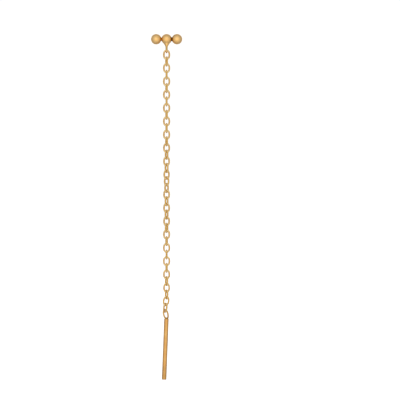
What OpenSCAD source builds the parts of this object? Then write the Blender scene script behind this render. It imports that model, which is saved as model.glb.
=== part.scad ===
// Threader earring: a bar of three soldered beads, a fine oval-link chain and a round rod.
// It hangs along -Z from the middle bead, whose centre is the origin. Lengths are in millimetres.

/* [Bead bar] */
// Diameter of each of the three beads
bead_d = 2.0; // [1.6:0.1:3]
// Diameter of the solder between the left bead and the middle one
left_neck_d = 0.52; // [0.4:0.02:0.9]
// Diameter of the solder between the middle bead and the right one
right_neck_d = 0.68; // [0.4:0.02:0.9]
// Radius of the hollow side of the solder cone under the middle bead
cone_hollow_r = 1.5; // [0.8:0.1:2.5]
// Length of the solder cone below the bead
cone_l = 0.42; // [0.3:0.02:0.6]
// Depth that the first ring's top bow is sunk into the middle bead
first_ring_sink = 0.28; // [0.2:0.02:0.4]

/* [Chain] */
// Diameter of the wire of every link
wire_d = 0.33; // [0.28:0.01:0.35]
// Width of a link over its two legs
link_w = 1.4; // [1.3:0.02:1.6]
// Length of the hole in a link
link_hole_l = 1.34; // [1.28:0.01:1.6]
// Free play between the wires of two links
link_gap = 0.06; // [0.05:0.005:0.08]
// Number of loose links between the two soldered rings
link_count = 39; // [24:1:40]

/* [Rod] */
// Diameter of the rod
rod_d = 0.88; // [0.8:0.02:1.2]
// Length of the rod along its axis
rod_l = 11.7; // [8:0.1:16]
// Rounding of the rod's two rims
rod_rim_r = 0.1; // [0.05:0.01:0.2]
// Lean of the rod, its foot towards -X, in degrees
rod_lean = 2.2; // [0:0.1:4]
// Free play between the last loose link and the rod's ring
rod_gap = 0.08; // [0.06:0.005:0.1]
// Depth that the ring's lower bow is sunk into the rod's top
ring_sink = 0.06; // [0.04:0.01:0.2]
// Distance of the ring's foot from the rod's axis, towards +X
ring_offset = 0.12; // [0:0.02:0.2]
// Width of the solder mound on the rod's top
mound_w = 0.6; // [0.44:0.02:0.64]
// Height of the solder mound on the rod's top
mound_h = 0.14; // [0.08:0.02:0.3]

/* [Hidden] */
$fn = 64;

GOLD = [0.86, 0.68, 0.42];

// Turn of the chain about its own line, in degrees, by share of the way from the first ring to the last
TURN = [[0, 5], [0.05, 13], [0.1, 4], [0.15, 10], [0.2, 4], [0.25, 10], [0.3, 7], [0.35, 14],
        [0.4, 22], [0.45, 26], [0.475, 34], [0.5, 45], [0.525, 58], [0.55, 67], [0.65, 67],
        [0.7, 76], [0.775, 88], [0.825, 98], [0.875, 111], [0.925, 113], [0.975, 121], [1, 133]];
// Lean of each link, its foot towards -X, in degrees, by the same share
LEAN = [[0, 0], [0.925, 0], [0.95, 8], [0.975, 6], [1, -14]];

bead_r = bead_d / 2;
wire_r = wire_d / 2;
rod_r = rod_d / 2;

// Centreline of a link: two bows of one radius and two flatter sides of another, meeting at one angle
join_a = 20;
half_w = (link_w - wire_d) / 2;
half_l = (link_hole_l + wire_d) / 2;
bow_r = (half_w * sin(join_a) - (1 - cos(join_a)) * half_l) / (sin(join_a) + cos(join_a) - 1);
side_r = (half_l - (1 - sin(join_a)) * bow_r) / sin(join_a);
bow_shift = (side_r - bow_r) * sin(join_a);
side_shift = (side_r - bow_r) * cos(join_a);

link_pitch = link_hole_l - link_gap;
first_ring_z = -bead_r + first_ring_sink - wire_r - half_l;
last_ring = link_count + 1;

function turn(k) = 90 * (k + 1) + lookup(k / last_ring, TURN);
function lean(k) = lookup(k / last_ring, LEAN);
function down(angle) = [-sin(angle), 0, -cos(angle)];

// Point halfway between the wires of link k and link k + 1, where one hangs in the other
function hang_point(k) =
    k == 0 ? [0, 0, first_ring_z - link_pitch / 2] : hang_point(k - 1) + link_pitch * down(lean(k));
function link_centre(k) =
    k == 0 ? [0, 0, first_ring_z] : hang_point(k - 1) + link_pitch / 2 * down(lean(k));
last_ring_centre = link_centre(last_ring) + [0, 0, rod_gap - link_gap];

// Centre of the solder cone's hollow side, which touches the bead and the width of the wire
cone_hollow_x = wire_r + cone_hollow_r;
cone_hollow_z = -sqrt(pow(bead_r + cone_hollow_r, 2) - pow(cone_hollow_x, 2));
cone_top = bead_r / (bead_r + cone_hollow_r) * [cone_hollow_x, cone_hollow_z];
cone_foot_z = -bead_r - cone_l;

ring_foot = last_ring_centre + (half_l + wire_r) * down(lean(last_ring));
rod_top = ring_foot - ring_sink * down(rod_lean) - [ring_offset, 0, 0];

function link_name(k) = str("link_", k < 10 ? "0" : "", k);

// A move in two steps, a rounded one and the small rest, so that the ends of two arcs meet to the last digit
module exact_move(v) {
    rounded = [for (c = v) round(100 * c) / 100];
    translate(rounded) translate(v - rounded) children();
}

// One link in the XZ plane, centred on the origin
module oval_link() {
    rotate([90, 0, 0]) {
        for (end = [0, 180]) {
            rotate([0, 0, end]) {
                exact_move([0, bow_shift])
                    rotate_extrude(angle = 180 - 2 * join_a, start = join_a)
                        exact_move([bow_r, 0]) circle(r = wire_r);
                exact_move([-side_shift, 0])
                    rotate_extrude(angle = 2 * join_a, start = -join_a)
                        exact_move([side_r, 0]) circle(r = wire_r);
            }
        }
    }
}

// A link with the chain's turn and lean at its place
module hung_link(k, centre) {
    translate(centre)
        rotate([0, lean(k), 0])
            rotate([0, 0, turn(k)]) oval_link();
}

module solder_cone() {
    rotate_extrude() {
        difference() {
            polygon([[0, -bead_r / 2], cone_top, [cone_top.x, cone_foot_z], [0, cone_foot_z]]);
            translate([cone_hollow_x, cone_hollow_z]) circle(r = cone_hollow_r);
        }
    }
}

// Three beads, the solder between them, the solder cone and the chain's first ring
module bead_bar() {
    color(GOLD) {
        for (side = [-1, 0, 1]) translate([side * bead_d, 0, 0]) sphere(d = bead_d);
        rotate([0, -90, 0]) cylinder(d = left_neck_d, h = bead_d);
        rotate([0, 90, 0]) cylinder(d = right_neck_d, h = bead_d);
        solder_cone();
        hung_link(0, link_centre(0));
    }
}

// The rod's outline from its axis outwards, with its top at 0
module rod_outline() {
    translate([0, -rod_l]) square([rod_r - rod_rim_r, rod_l]);
    translate([0, rod_rim_r - rod_l]) square([rod_r, rod_l - 2 * rod_rim_r]);
    for (y = [-rod_rim_r, rod_rim_r - rod_l]) translate([rod_r - rod_rim_r, y]) circle(r = rod_rim_r);
}

// The rod that passes through the ear, with the chain's last ring soldered to its top
module threader_rod() {
    color(GOLD) {
        translate(rod_top) {
            rotate([0, rod_lean, 0]) {
                rotate_extrude() rod_outline();
                translate([ring_offset / 2, 0, 0]) cylinder(d1 = mound_w, d2 = mound_w / 2, h = mound_h);
            }
        }
        hung_link(last_ring, last_ring_centre);
    }
}

bead_bar();
for (k = [1:link_count]) {
    color(GOLD) hung_link(k, link_centre(k));
}
threader_rod();
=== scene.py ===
import itertools
import math

import bpy
import numpy as np
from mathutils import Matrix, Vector


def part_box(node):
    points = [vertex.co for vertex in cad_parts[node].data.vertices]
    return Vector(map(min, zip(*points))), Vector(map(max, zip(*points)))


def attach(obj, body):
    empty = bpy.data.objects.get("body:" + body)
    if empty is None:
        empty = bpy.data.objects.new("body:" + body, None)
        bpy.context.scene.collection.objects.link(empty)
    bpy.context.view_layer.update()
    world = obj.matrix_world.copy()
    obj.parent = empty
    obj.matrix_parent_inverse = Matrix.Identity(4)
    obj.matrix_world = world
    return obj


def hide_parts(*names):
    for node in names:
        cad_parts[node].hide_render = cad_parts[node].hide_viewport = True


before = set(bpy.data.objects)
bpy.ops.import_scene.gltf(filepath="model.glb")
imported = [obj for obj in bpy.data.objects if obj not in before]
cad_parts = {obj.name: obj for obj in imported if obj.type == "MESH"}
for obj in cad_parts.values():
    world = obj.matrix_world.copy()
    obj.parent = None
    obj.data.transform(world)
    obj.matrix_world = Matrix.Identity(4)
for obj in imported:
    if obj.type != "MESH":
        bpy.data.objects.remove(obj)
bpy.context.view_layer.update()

# A threader earring: a bar of three soldered beads, a fine chain and a rod. The soldered pieces are meshed
# from distance fields, which round the solder into fillets. Each link is a swept wire with a soldered seam.
# Every piece replaces its CAD node.

# Sizes are in millimetres, as in the CAD source, and become metres when a mesh is made.
MM = 0.001

# Bead bar
BEAD_R = 1.0
LEFT_NECK_R = 0.26
RIGHT_NECK_R = 0.34
CONE_HOLLOW_R = 1.5
CONE_L = 0.42
FIRST_RING_SINK = 0.28

# Chain
WIRE_R = 0.165
LINK_HALF_W = 0.535
LINK_HALF_L = 0.835
LINK_GAP = 0.06
LINK_COUNT = 39
JOIN_ANGLE = math.radians(20)

# Rod
ROD_R = 0.44
ROD_L = 11.7
ROD_RIM_R = 0.1
ROD_LEAN = 2.2
ROD_GAP = 0.08
RING_SINK = 0.06
RING_OFFSET = 0.12
MOUND_R = 0.3
MOUND_H = 0.14

# Turn and lean of the links in degrees, by share of the way from the first ring to the last
TURN = [(0, 5), (0.05, 13), (0.1, 4), (0.15, 10), (0.2, 4), (0.25, 10), (0.3, 7), (0.35, 14),
        (0.4, 22), (0.45, 26), (0.475, 34), (0.5, 45), (0.525, 58), (0.55, 67), (0.65, 67),
        (0.7, 76), (0.775, 88), (0.825, 98), (0.875, 111), (0.925, 113), (0.975, 121), (1, 133)]
LEAN = [(0, 0), (0.925, 0), (0.95, 8), (0.975, 6), (1, -14)]

# The two arcs of a link's centreline, as in the CAD source
BOW_R = ((LINK_HALF_W * math.sin(JOIN_ANGLE) - (1 - math.cos(JOIN_ANGLE)) * LINK_HALF_L)
         / (math.sin(JOIN_ANGLE) + math.cos(JOIN_ANGLE) - 1))
SIDE_R = (LINK_HALF_L - (1 - math.sin(JOIN_ANGLE)) * BOW_R) / math.sin(JOIN_ANGLE)
BOW_SHIFT = (SIDE_R - BOW_R) * math.sin(JOIN_ANGLE)
SIDE_SHIFT = (SIDE_R - BOW_R) * math.cos(JOIN_ANGLE)

LINK_PITCH = 2 * (LINK_HALF_L - WIRE_R) - LINK_GAP
FIRST_RING_Z = -BEAD_R + FIRST_RING_SINK - WIRE_R - LINK_HALF_L
LAST_RING = LINK_COUNT + 1


def lookup(share, table):
    return float(np.interp(share, [row[0] for row in table], [row[1] for row in table]))


def turn(k):
    return 90 * (k + 1) + lookup(k / LAST_RING, TURN)


def lean(k):
    return lookup(k / LAST_RING, LEAN)


def down(angle):
    a = math.radians(angle)
    return np.array([-math.sin(a), 0.0, -math.cos(a)])


def link_centres():
    """Centre of each link and of the two soldered rings, from the bead to the rod."""
    centre = np.array([0.0, 0.0, FIRST_RING_Z])
    hang = centre + LINK_PITCH / 2 * down(0)
    centres = [centre]
    for k in range(1, LAST_RING + 1):
        centres.append(hang + LINK_PITCH / 2 * down(lean(k)))
        hang = hang + LINK_PITCH * down(lean(k))
    centres[LAST_RING] = centres[LAST_RING] + np.array([0, 0, ROD_GAP - LINK_GAP])
    return centres


CENTRES = link_centres()
RING_FOOT = CENTRES[LAST_RING] + (LINK_HALF_L + WIRE_R) * down(lean(LAST_RING))
ROD_TOP = RING_FOOT - RING_SINK * down(ROD_LEAN) - np.array([RING_OFFSET, 0, 0])


def about_y(degrees):
    """Columns are the axes of a frame turned about +Y."""
    a = math.radians(degrees)
    return np.array([[math.cos(a), 0, math.sin(a)], [0, 1, 0], [-math.sin(a), 0, math.cos(a)]])


def about_z(degrees):
    """Columns are the axes of a frame turned about +Z."""
    a = math.radians(degrees)
    return np.array([[math.cos(a), -math.sin(a), 0], [math.sin(a), math.cos(a), 0], [0, 0, 1]])


def link_axes(k):
    return about_y(lean(k)) @ about_z(turn(k))


def link_frame(k, p):
    """Points in the frame of link k, which lies in its XZ plane."""
    return (p - CENTRES[k]) @ link_axes(k)


def rod_frame(p):
    """Points in the rod's own frame, with its top at 0 and its axis along +Z."""
    return (p - ROD_TOP) @ about_y(ROD_LEAN)


# Distance fields, in millimetres and negative inside the metal

# Radii over which the solder blends from one form into the next
NECK_FILLET = 0.06
CONE_FILLET = 0.12
MOUND_FILLET = 0.06

# Share of its width that the solder mound loses up to its top, and the cosine of its side's slope
MOUND_TAPER = 0.5
MOUND_SLOPE = 0.7


def blend(a, b, fillet):
    """The union of two fields with a fillet of solder where they meet."""
    near = np.maximum(4 * fillet - np.abs(a - b), 0) / (4 * fillet)
    return np.minimum(a, b) - near * near * fillet


def bead_field(p, x):
    return np.linalg.norm(p - np.array([x, 0, 0]), axis=1) - BEAD_R


def left_or_right(p, left, right):
    """One value for points at -X and another for points at +X."""
    return np.where(p[:, 0] < 0, left, right)


def ring_field(p, k):
    """Wire of link k around its oval centreline."""
    q = link_frame(k, p)
    u, v = np.abs(q[:, 0]), np.abs(q[:, 2])
    in_bow = np.arctan2(v - BOW_SHIFT, u) > JOIN_ANGLE
    to_bow = np.hypot(u, v - BOW_SHIFT) - BOW_R
    to_side = np.hypot(u + SIDE_SHIFT, v) - SIDE_R
    return np.hypot(np.where(in_bow, to_bow, to_side), q[:, 1]) - WIRE_R


def cone_field(p):
    """Solder under the middle bead, with a hollow side that touches the bead and the ring's wire."""
    hollow_x = WIRE_R + CONE_HOLLOW_R
    hollow_z = -math.sqrt((BEAD_R + CONE_HOLLOW_R) ** 2 - hollow_x ** 2)
    top_z = hollow_z * BEAD_R / (BEAD_R + CONE_HOLLOW_R)
    out = np.hypot(p[:, 0], p[:, 1])
    side = CONE_HOLLOW_R - np.hypot(out - hollow_x, p[:, 2] - hollow_z)
    side = np.where(out > hollow_x, out, side)
    return np.maximum.reduce([side, p[:, 2] - top_z, -BEAD_R - CONE_L - p[:, 2]])


def bead_bar_field(p):
    """The beads with the solder between them, the solder cone and the chain's first ring."""
    beads = np.minimum.reduce([bead_field(p, x) for x in (-2 * BEAD_R, 0, 2 * BEAD_R)])
    neck_r = left_or_right(p, LEFT_NECK_R, RIGHT_NECK_R)
    neck = np.maximum(np.hypot(p[:, 1], p[:, 2]) - neck_r, np.abs(p[:, 0]) - 2 * BEAD_R)
    bar = blend(beads, neck, NECK_FILLET / 2)
    return blend(np.minimum(bar, cone_field(p)), ring_field(p, 0), CONE_FILLET)


def rod_field(p):
    """The rod with its rounded rims, the solder mound on its top and the chain's last ring."""
    q = rod_frame(p)
    out = np.hypot(q[:, 0], q[:, 1]) - (ROD_R - ROD_RIM_R)
    along = np.abs(q[:, 2] + ROD_L / 2) - (ROD_L / 2 - ROD_RIM_R)
    outside = np.hypot(np.maximum(out, 0), np.maximum(along, 0))
    rod = outside + np.minimum(np.maximum(out, along), 0) - ROD_RIM_R
    narrower = 1 - MOUND_TAPER * np.maximum(q[:, 2], 0) / MOUND_H
    side = np.hypot(q[:, 0] - RING_OFFSET / 2, q[:, 1]) - MOUND_R * narrower
    mound = np.maximum.reduce([side * MOUND_SLOPE, q[:, 2] - MOUND_H, -MOUND_H - q[:, 2]])
    top = blend(mound, ring_field(p, LAST_RING), MOUND_FILLET)
    return blend(rod, top, MOUND_FILLET / 3)


# Meshes from the fields

# Size of the cells that the soldered pieces are meshed with, and how far the grid goes past the bead bar
CELL = 0.034
GRID_MARGIN = 3 * CELL

# Corners of the box that is meshed round the rod and its ring, in the rod's frame
ROD_BOX = (np.array([-0.8, -0.8, -ROD_L - 0.15]), np.array([0.9, 0.8, 2.3]))


def slope(field, p, step=1e-4):
    """Gradient of a field at points p."""
    columns = []
    for axis in range(3):
        shift = np.zeros(3)
        shift[axis] = step
        columns.append((field(p + shift) - field(p - shift)) / (2 * step))
    return np.stack(columns, 1)


def settle(field, p, steps=3):
    """Moves points onto the surface of a field."""
    for _ in range(steps):
        g = slope(field, p)
        p = p - g * (field(p) / np.maximum((g * g).sum(1), 1e-6))[:, None]
    return p


def net(field, low, high, axes=np.eye(3), origin=np.zeros(3)):
    """A mesh of quads on the surface of a field, from a grid of cells between two corners."""
    ticks = [np.arange(a, b + CELL, CELL) for a, b in zip(low, high)]
    grid = np.stack(np.meshgrid(*ticks, indexing="ij"), -1)
    points = grid.reshape(-1, 3) @ axes.T + origin
    inside = (field(points) < 0).reshape(grid.shape[:3])

    # One point in the middle of each cell that the surface crosses
    cells = np.array(inside.shape) - 1
    count = np.zeros(cells, int)
    for i, j, k in itertools.product((0, 1), repeat=3):
        count += inside[i:cells[0] + i, j:cells[1] + j, k:cells[2] + k]
    crossed = (count > 0) & (count < 8)
    number = np.full(cells, -1)
    number[crossed] = np.arange(crossed.sum())
    middles = np.argwhere(crossed) * CELL + np.array([t[0] for t in ticks]) + CELL / 2

    # One quad round each edge of the grid that the surface crosses
    faces = []
    for axis in range(3):
        b, c = (axis + 1) % 3, (axis + 2) % 3
        near = np.take(inside, range(cells[axis]), axis)
        far = np.take(inside, range(1, cells[axis] + 1), axis)
        for leaving in (True, False):
            at = np.argwhere((near & ~far) if leaving else (far & ~near))
            quad = []
            for db, dc in ((1, 1), (0, 1), (0, 0), (1, 0)):
                cell = at.copy()
                cell[:, b] -= db
                cell[:, c] -= dc
                quad.append(number[cell[:, 0], cell[:, 1], cell[:, 2]])
            faces.append(np.stack(quad if leaving else quad[::-1], 1))
    return middles @ axes.T + origin, np.concatenate(faces)


def even_out(field, p, faces, rounds=6):
    """Spreads the points of a net evenly over the surface."""
    ends = np.concatenate([faces[:, [i, (i + 1) % 4]] for i in range(4)])
    for _ in range(rounds):
        total, count = np.zeros_like(p), np.zeros(len(p))
        for a, b in ((0, 1), (1, 0)):
            np.add.at(total, ends[:, a], p[ends[:, b]])
            np.add.at(count, ends[:, a], 1)
        p = settle(field, 0.5 * (p + total / count[:, None]), 1)
    return settle(field, p)


# Links

# Rings along a link's wire and points round each ring
LINK_RINGS = 112
LINK_SIDES = 20

# The soldered seam of a link: shares of the wire's radius, and half lengths along the wire
SEAM_SWELL = 0.05
SEAM_SWELL_L = 0.14
SEAM_GROOVE = 0.045
SEAM_GROOVE_L = 0.012

# The extra stations along the wire that shape the groove, in its half lengths, and how near to one of them an
# even station is left out
GROOVE_STATIONS = (-2, -1, -0.5, 0, 0.5, 1, 2)
LEAST_STEP = 0.002

# How far a seam lies from the middle of its side at most, and the step from link to link, in radians
SEAM_WANDER = 0.05
SEAM_STEP = 2.4

BOW_ARC = BOW_R * (math.pi - 2 * JOIN_ANGLE)
SIDE_ARC = SIDE_R * 2 * JOIN_ANGLE
LOOP_L = 2 * (BOW_ARC + SIDE_ARC)


def on_loop(s):
    """Point of a link's centreline, s along from the middle of its +X side, and its outward angle."""
    s = s % LOOP_L
    arcs = [(-SIDE_SHIFT, 0, SIDE_R, 0, SIDE_ARC / 2),
            (0, BOW_SHIFT, BOW_R, JOIN_ANGLE, BOW_ARC),
            (SIDE_SHIFT, 0, SIDE_R, math.pi - JOIN_ANGLE, SIDE_ARC),
            (0, -BOW_SHIFT, BOW_R, math.pi + JOIN_ANGLE, BOW_ARC),
            (-SIDE_SHIFT, 0, SIDE_R, -JOIN_ANGLE, SIDE_ARC / 2)]
    for x, z, radius, start, length in arcs:
        if s <= length:
            break
        s -= length
    a = start + s / radius
    return x + radius * math.cos(a), z + radius * math.sin(a), a


def along_loop(s, t):
    """Distance of two places along a link's centreline."""
    apart = abs(s - t) % LOOP_L
    return min(apart, LOOP_L - apart)


def link_points(k):
    """The wire of link k, with the swelling and the fine groove of its seam on one side."""
    seam = LOOP_L / 2 * ((k // 2) % 2) + SEAM_WANDER * math.sin(SEAM_STEP * k)
    near_seam = [(seam + SEAM_GROOVE_L * step) % LOOP_L for step in GROOVE_STATIONS]
    even = [LOOP_L * i / LINK_RINGS for i in range(LINK_RINGS)]
    stations = sorted(near_seam + [s for s in even if min(along_loop(s, n) for n in near_seam) > LEAST_STEP])
    rows, seams = [], []
    for s in stations:
        x, z, a = on_loop(s)
        away = along_loop(s, seam)
        swell = SEAM_SWELL * math.exp(-(away / SEAM_SWELL_L) ** 2)
        groove = SEAM_GROOVE * math.exp(-(away / SEAM_GROOVE_L) ** 2)
        radius = WIRE_R * (1 + swell - groove)
        for i in range(LINK_SIDES):
            b = 2 * math.pi * i / LINK_SIDES
            out = radius * math.cos(b)
            rows.append((x + out * math.cos(a), radius * math.sin(b), z + out * math.sin(a)))
            seams.append(math.exp(-(away / (2 * SEAM_GROOVE_L)) ** 2))
    count = len(stations)
    faces = [(i * LINK_SIDES + j, i * LINK_SIDES + (j + 1) % LINK_SIDES,
              (i + 1) % count * LINK_SIDES + (j + 1) % LINK_SIDES, (i + 1) % count * LINK_SIDES + j)
             for i in range(count) for j in range(LINK_SIDES)]
    points = np.array(rows) @ link_axes(k).T + CENTRES[k]
    return points, np.array(faces), np.array(seams)


# Marks that a mesh holds for each point: "tarnish_and_shade" is the share of tarnish and of painted shade,
# "other" that of the other tones

# Painted shade in the necks between the beads, darker where the beads meet: its height over the solder, its
# ends along X and its strength
NECK_SHADE_H = 0.26
NECK_SHADE_X = (0.02, 0.17)
LEFT_NECK_SHADE = 0.5
RIGHT_NECK_SHADE = 1.0

# The dark nick in the right bead
NICK = np.array([1.385, -0.475, 0.63])
NICK_R = 0.3
NICK_TARNISH = 0.8

# Tone of the solder in the necks: its ends out from the row's axis and along X, and its strength
NECK_SOLDER_H = (0.5, 0.8)
NECK_SOLDER_X = (0.3, 0.5)
LEFT_NECK_SOLDER = 0.5
RIGHT_NECK_SOLDER = 1.0

# Depths between which the tone of the cone's solder begins, and ends on the ring
CONE_SOLDER_BEGIN = (1.1 * BEAD_R, 1.6 * BEAD_R)
CONE_SOLDER_END = (2.0, 2.3)

# Links: the seam's tarnish, and the heights between which the bows take a paler tone, a painted highlight
SEAM_TARNISH = 0.35
BOW_HIGHLIGHT_H = (0.38, 0.82)

# Rod: the tarnish round the mound, the patina near the foot and the ring's share of the solder's tone
MOUND_TARNISH = 0.5
MOUND_TARNISH_Z = 0.05
MOUND_TARNISH_H = (0.02, 0.16)
MOUND_TARNISH_W = 0.22
PATINA = 0.18
PATINA_DEPTH = (8.6, 9.6)
RING_SOLDER = 0.6
RING_SOLDER_H = (-0.02, 0.12)


def soft_step(value, low, high):
    """0 below low, 1 above high and a soft step between."""
    t = np.clip((value - low) / (high - low), 0, 1)
    return t * t * (3 - 2 * t)


def fade(value, low, high):
    """1 below low, 0 above high and a soft step between."""
    return 1 - soft_step(value, low, high)


def bead_bar_marks(p):
    reach = np.hypot(p[:, 1], p[:, 2])
    beside = np.abs(np.abs(p[:, 0]) - BEAD_R)
    neck_r = left_or_right(p, LEFT_NECK_R, RIGHT_NECK_R)
    # Painted shade: the necks are darkened where the beads meet
    neck = fade(reach, neck_r, neck_r + NECK_SHADE_H) * fade(beside, *NECK_SHADE_X)
    neck *= left_or_right(p, LEFT_NECK_SHADE, RIGHT_NECK_SHADE)
    nick = NICK_TARNISH * fade(np.linalg.norm(p - NICK, axis=1), 0.0, NICK_R)
    neck_solder = fade(reach, *NECK_SOLDER_H) * fade(beside, *NECK_SOLDER_X)
    neck_solder *= left_or_right(p, LEFT_NECK_SOLDER, RIGHT_NECK_SOLDER)
    cone_solder = soft_step(-p[:, 2], *CONE_SOLDER_BEGIN) * fade(-p[:, 2], *CONE_SOLDER_END)
    return {"tarnish_and_shade": np.maximum(neck, nick), "other": np.maximum(neck_solder, cone_solder)}


def link_marks(k, p, seam):
    height = np.abs(link_frame(k, p)[:, 2])
    # The paler bows are a painted highlight
    return {"tarnish_and_shade": SEAM_TARNISH * seam, "other": soft_step(height, *BOW_HIGHLIGHT_H)}


def rod_marks(p):
    above = rod_frame(p)[:, 2]
    mound = MOUND_TARNISH * fade(np.abs(above - MOUND_TARNISH_Z), *MOUND_TARNISH_H)
    mound = mound * fade(ring_field(p, LAST_RING), 0.0, MOUND_TARNISH_W)
    patina = PATINA * soft_step(-above, *PATINA_DEPTH)
    return {"tarnish_and_shade": np.maximum(mound, patina), "other": RING_SOLDER * soft_step(above, *RING_SOLDER_H)}


# Gold

# Tones of the metal: the common one, the paler patches and the deeper ones
BEAD_TONES = [(0.93, 0.57, 0.21, 1), (0.96, 0.635, 0.27, 1), (0.83, 0.455, 0.145, 1)]
CHAIN_TONES = [(0.73, 0.43, 0.115, 1), (0.78, 0.49, 0.155, 1), (0.63, 0.345, 0.08, 1)]
# Paler tones painted on the links' bows as a highlight
BOW_HIGHLIGHT_TONES = [(0.98, 0.755, 0.375, 1), (0.99, 0.79, 0.42, 1), (0.93, 0.66, 0.30, 1)]
ROD_TONES = [(0.73, 0.385, 0.12, 1), (0.78, 0.45, 0.155, 1), (0.61, 0.30, 0.08, 1)]
SOLDER_TONES = [(0.64, 0.395, 0.115, 1), (0.69, 0.455, 0.155, 1), (0.54, 0.315, 0.08, 1)]
# The dark tone of tarnish and of the painted shade in the necks
TARNISH_AND_SHADE_TONE = (0.17, 0.065, 0.008, 1)
EDGE_TINT = (1.0, 0.88, 0.66, 1)

# Noise: features a metre, and the values between which a tone or a roughness changes
PATCH_SCALE = 900
PATCH_RANGE = (0.35, 0.75)
BLUSH_SCALE = 420
BLUSH_RANGE = (0.55, 0.9)
GRAIN_SCALE = 26000
LINE_RANGE = (0.3, 0.7)
LINE_STRETCH = 18

# Relief of the grain and of the brushed lines: strength, and depth in metres
GRAIN_STRENGTH = 0.4
GRAIN_DEPTH = 0.00001
LINE_STRENGTH = 0.8
LINE_DEPTH = 0.000015

# How far the lines vary the roughness, and what the full mark of tarnish and painted shade adds to it
ROUGHNESS_SPREAD = 0.1
TARNISH_AND_SHADE_ROUGHNESS = 0.3


def set_input(tree, socket, value):
    """Links a socket to another node's output, or sets its value."""
    if isinstance(value, bpy.types.NodeSocket):
        tree.links.new(value, socket)
    else:
        socket.default_value = value


def node(tree, kind, **sockets):
    """A shader node with some of its inputs set or linked."""
    made = tree.nodes.new(kind)
    for name, value in sockets.items():
        set_input(tree, made.inputs[name.replace("_", " ")], value)
    return made


def noise(tree, place, scale, detail, roughness=0.5):
    made = node(tree, "ShaderNodeTexNoise", Vector=place, Scale=scale, Detail=detail, Roughness=roughness)
    return made.outputs["Fac"]


def ramp(tree, value, low, high):
    """0 below low, 1 above high and a soft step between."""
    made = node(tree, "ShaderNodeMapRange", Value=value, From_Min=low, From_Max=high)
    made.interpolation_type = "SMOOTHSTEP"
    return made.outputs["Result"]


def mix(tree, share, a, b):
    made = tree.nodes.new("ShaderNodeMix")
    made.data_type = "RGBA"
    colours = [s for s in made.inputs if s.type == "RGBA"]
    for socket, value in ((made.inputs[0], share), (colours[0], a), (colours[1], b)):
        set_input(tree, socket, value)
    return [s for s in made.outputs if s.type == "RGBA"][0]


def mark(tree, name):
    """The value that a mesh holds under a name at each of its points."""
    made = tree.nodes.new("ShaderNodeAttribute")
    made.attribute_name = name
    return made.outputs["Fac"]


def plating(tree, place, tones):
    """One tone with paler patches and a few deeper ones."""
    patches = noise(tree, place, PATCH_SCALE, detail=3)
    colour = mix(tree, ramp(tree, patches, *PATCH_RANGE), tones[0], tones[1])
    blush = noise(tree, place, BLUSH_SCALE, detail=2)
    return mix(tree, ramp(tree, blush, *BLUSH_RANGE), colour, tones[2])


def gold(name, tones, other_tones, line_scale, line_axis, roughness):
    """Satin gold plating with fine grain, brushed lines along an axis, tarnish and painted shade, and places
    of other tones.
    """
    material = bpy.data.materials.new(name)
    material.use_nodes = True
    tree = material.node_tree
    shader = tree.nodes["Principled BSDF"]
    shader.inputs["Metallic"].default_value = 1.0
    shader.inputs["Specular Tint"].default_value = EDGE_TINT
    place = node(tree, "ShaderNodeTexCoord").outputs["Object"]

    tarnish_and_shade = mark(tree, "tarnish_and_shade")
    plain, other = plating(tree, place, tones), plating(tree, place, other_tones)
    colour = mix(tree, mark(tree, "other"), plain, other)
    # Tarnish, and the painted shade in the necks, darken the colour
    set_input(tree, shader.inputs["Base Color"], mix(tree, tarnish_and_shade, colour, TARNISH_AND_SHADE_TONE))

    stretch = [line_scale] * 3
    stretch[line_axis] = line_scale / LINE_STRETCH
    lines_at = node(tree, "ShaderNodeMapping", Vector=place, Scale=stretch)
    lines = noise(tree, lines_at.outputs["Vector"], 1, detail=4, roughness=0.6)
    grain = noise(tree, place, GRAIN_SCALE, detail=2)

    rough = node(tree, "ShaderNodeMapRange", Value=lines, From_Min=LINE_RANGE[0], From_Max=LINE_RANGE[1],
                 To_Min=roughness - ROUGHNESS_SPREAD, To_Max=roughness + ROUGHNESS_SPREAD)
    worn = node(tree, "ShaderNodeMath", Value=tarnish_and_shade)
    worn.operation = "MULTIPLY_ADD"
    worn.inputs[1].default_value = TARNISH_AND_SHADE_ROUGHNESS
    set_input(tree, worn.inputs[2], rough.outputs["Result"])
    set_input(tree, shader.inputs["Roughness"], worn.outputs[0])

    fine = node(tree, "ShaderNodeBump", Height=grain, Strength=GRAIN_STRENGTH, Distance=GRAIN_DEPTH)
    brushed = node(tree, "ShaderNodeBump", Height=lines, Strength=LINE_STRENGTH, Distance=LINE_DEPTH,
                   Normal=fine.outputs["Normal"])
    set_input(tree, shader.inputs["Normal"], brushed.outputs["Normal"])
    return material


# Pieces

def dressed_piece(name, points, faces, marks, material, body, cad_node):
    """A smooth mesh from points in millimetres, which rides on a body and stands for a CAD node."""
    mesh = bpy.data.meshes.new(name)
    mesh.from_pydata((points * MM).tolist(), [], faces.tolist())
    for mark_name, values in marks.items():
        attribute = mesh.attributes.new(mark_name, "FLOAT", "POINT")
        attribute.data.foreach_set("value", values.astype(np.float32))
    mesh.shade_smooth()
    mesh.validate()
    mesh.materials.append(material)
    piece = bpy.data.objects.new(name, mesh)
    bpy.context.scene.collection.objects.link(piece)
    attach(piece, body)
    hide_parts(cad_node)


def bead_bar():
    material = gold("bead_gold", BEAD_TONES, SOLDER_TONES, line_scale=9000, line_axis=0, roughness=0.33)
    low, high = (np.array(corner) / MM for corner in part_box("bead_bar"))
    points, faces = net(bead_bar_field, low - GRID_MARGIN, high + GRID_MARGIN)
    points = even_out(bead_bar_field, points, faces)
    dressed_piece("bead_bar_cast", points, faces, bead_bar_marks(points), material, "chain", "bead_bar")


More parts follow.
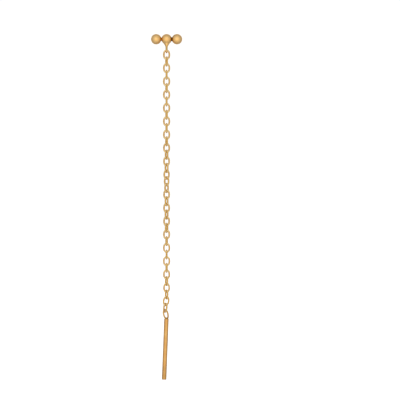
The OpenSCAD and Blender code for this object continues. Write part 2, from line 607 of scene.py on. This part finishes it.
def chain():
    # The chain's second tones are the painted highlight on the bows
    material = gold("chain_gold", CHAIN_TONES, BOW_HIGHLIGHT_TONES, line_scale=14000, line_axis=2, roughness=0.34)
    for k in range(1, LINK_COUNT + 1):
        points, faces, seam = link_points(k)
        marks = link_marks(k, points, seam)
        dressed_piece(f"chain_link_{k:02d}", points, faces, marks, material, "chain", f"link_{k:02d}")


def threader_rod():
    material = gold("rod_gold", ROD_TONES, SOLDER_TONES, line_scale=16000, line_axis=2, roughness=0.34)
    points, faces = net(rod_field, *ROD_BOX, about_y(ROD_LEAN), ROD_TOP)
    points = even_out(rod_field, points, faces)
    dressed_piece("threader_rod_cast", points, faces, rod_marks(points), material, "drop", "threader_rod")


bead_bar()
chain()
threader_rod()


# Camera: level, straight at the earring's front, framed as the photograph

# The photograph's scale and size, and the place of the middle bead's centre in it
PIXELS_PER_MM = 5.2
FRAME_PIXELS = 400
BEAD_PIXEL = (166.1, 38.7)

# Focal length and sensor width, in millimetres of the camera
LENS = 200
SENSOR = 36


def front_camera():
    frame_mm = FRAME_PIXELS / PIXELS_PER_MM
    middle = (FRAME_PIXELS - 1) / 2
    camera = bpy.data.objects.new("camera", bpy.data.cameras.new("camera"))
    camera.data.lens = LENS
    camera.data.sensor_width = SENSOR
    camera.data.clip_start = 0.01
    camera.data.clip_end = 20
    camera.location = (
        (middle - BEAD_PIXEL[0]) / PIXELS_PER_MM * MM,
        -frame_mm * MM * LENS / SENSOR,
        (BEAD_PIXEL[1] - middle) / PIXELS_PER_MM * MM,
    )
    camera.rotation_euler = (math.radians(90), 0, 0)
    bpy.context.scene.collection.objects.link(camera)
    bpy.context.scene.camera = camera


front_camera()


# Floor, in metres

FLOOR_Z = -0.078
FLOOR_R = 2.5
FLOOR_SIDES = 96


def white_floor():
    """A pale disc under the earring, which isn't seen in the gold."""
    angles = [2 * math.pi * i / FLOOR_SIDES for i in range(FLOOR_SIDES)]
    rim = [(FLOOR_R * math.cos(a), FLOOR_R * math.sin(a), FLOOR_Z) for a in angles]
    mesh = bpy.data.meshes.new("floor")
    mesh.from_pydata(rim, [], [list(range(FLOOR_SIDES))])
    floor = bpy.data.objects.new("floor", mesh)
    bpy.context.scene.collection.objects.link(floor)
    paper = bpy.data.materials.new("floor_white")
    paper.use_nodes = True
    shader = paper.node_tree.nodes["Principled BSDF"]
    shader.inputs["Base Color"].default_value = (0.86, 0.86, 0.86, 1)
    shader.inputs["Roughness"].default_value = 0.9
    shader.inputs["Specular IOR Level"].default_value = 0.1
    shader.inputs["Emission Color"].default_value = (1, 1, 1, 1)
    shader.inputs["Emission Strength"].default_value = 0.6
    mesh.materials.append(paper)
    floor.visible_glossy = False


white_floor()


# Light, in metres and watts

# The middle of the earring, which the softboxes aim at
AIM = (0, 0, -0.031)

# Strength of the even light, what is added in front, and how fast that falls off towards the back
SIDE_STRENGTH = 0.49
FRONT_STRENGTH = 0.74
FRONT_FALLOFF = 3.2

# The light from the sides is a little cooler than the light from the front. It changes between two cosines
# of the angle to the front.
SIDE_COLOUR = (0.96, 1.0, 1.16, 1)
FRONT_COLOUR = (1, 1, 1, 1)
COLOUR_RANGE = (-0.6, 0.8)
BACKDROP_STRENGTH = 1.05


def softbox(name, place, size, power):
    data = bpy.data.lights.new(name, "AREA")
    data.shape = "DISK"
    data.size = size
    data.energy = power
    light = bpy.data.objects.new(name, data)
    light.location = place
    light.rotation_euler = (Vector(AIM) - Vector(place)).to_track_quat("-Z", "Y").to_euler()
    light.visible_camera = False
    bpy.context.scene.collection.objects.link(light)


def maths(tree, operation, value, number, offset=0):
    made = tree.nodes.new("ShaderNodeMath")
    made.operation = operation
    for socket, given in zip(made.inputs, (value, number, offset)):
        set_input(tree, socket, given)
    return made.outputs[0]


def studio_world():
    """Even light from every side that grows towards the front, and a white backdrop in the pictures."""
    world = bpy.data.worlds.new("studio")
    bpy.context.scene.world = world
    world.use_nodes = True
    tree = world.node_tree

    toward = node(tree, "ShaderNodeTexCoord").outputs["Generated"]
    facing = node(tree, "ShaderNodeVectorMath")
    facing.operation = "DOT_PRODUCT"
    facing.inputs[1].default_value = (0, -1, 0)
    set_input(tree, facing.inputs[0], toward)
    cosine = facing.outputs["Value"]

    share = maths(tree, "MULTIPLY_ADD", cosine, 0.5, 0.5)
    share = maths(tree, "POWER", share, FRONT_FALLOFF)
    strength = maths(tree, "MULTIPLY_ADD", share, FRONT_STRENGTH, SIDE_STRENGTH)
    colour = mix(tree, ramp(tree, cosine, *COLOUR_RANGE), SIDE_COLOUR, FRONT_COLOUR)

    background = tree.nodes["Background"]
    set_input(tree, background.inputs["Color"], colour)
    set_input(tree, background.inputs["Strength"], strength)
    backdrop = node(tree, "ShaderNodeBackground", Color=(1, 1, 1, 1), Strength=BACKDROP_STRENGTH)
    both = tree.nodes.new("ShaderNodeMixShader")
    seen = node(tree, "ShaderNodeLightPath").outputs["Is Camera Ray"]
    for socket, given in zip(both.inputs, (seen, background.outputs[0], backdrop.outputs[0])):
        set_input(tree, socket, given)
    set_input(tree, tree.nodes["World Output"].inputs["Surface"], both.outputs[0])


softbox("front_softbox", place=(0.0, -0.9, 0.05), size=1.0, power=0.05)
softbox("back_softbox", place=(0.0, 0.9, 0.1), size=1.4, power=2.1)
studio_world()

bpy.context.scene.view_settings.view_transform = "Standard"
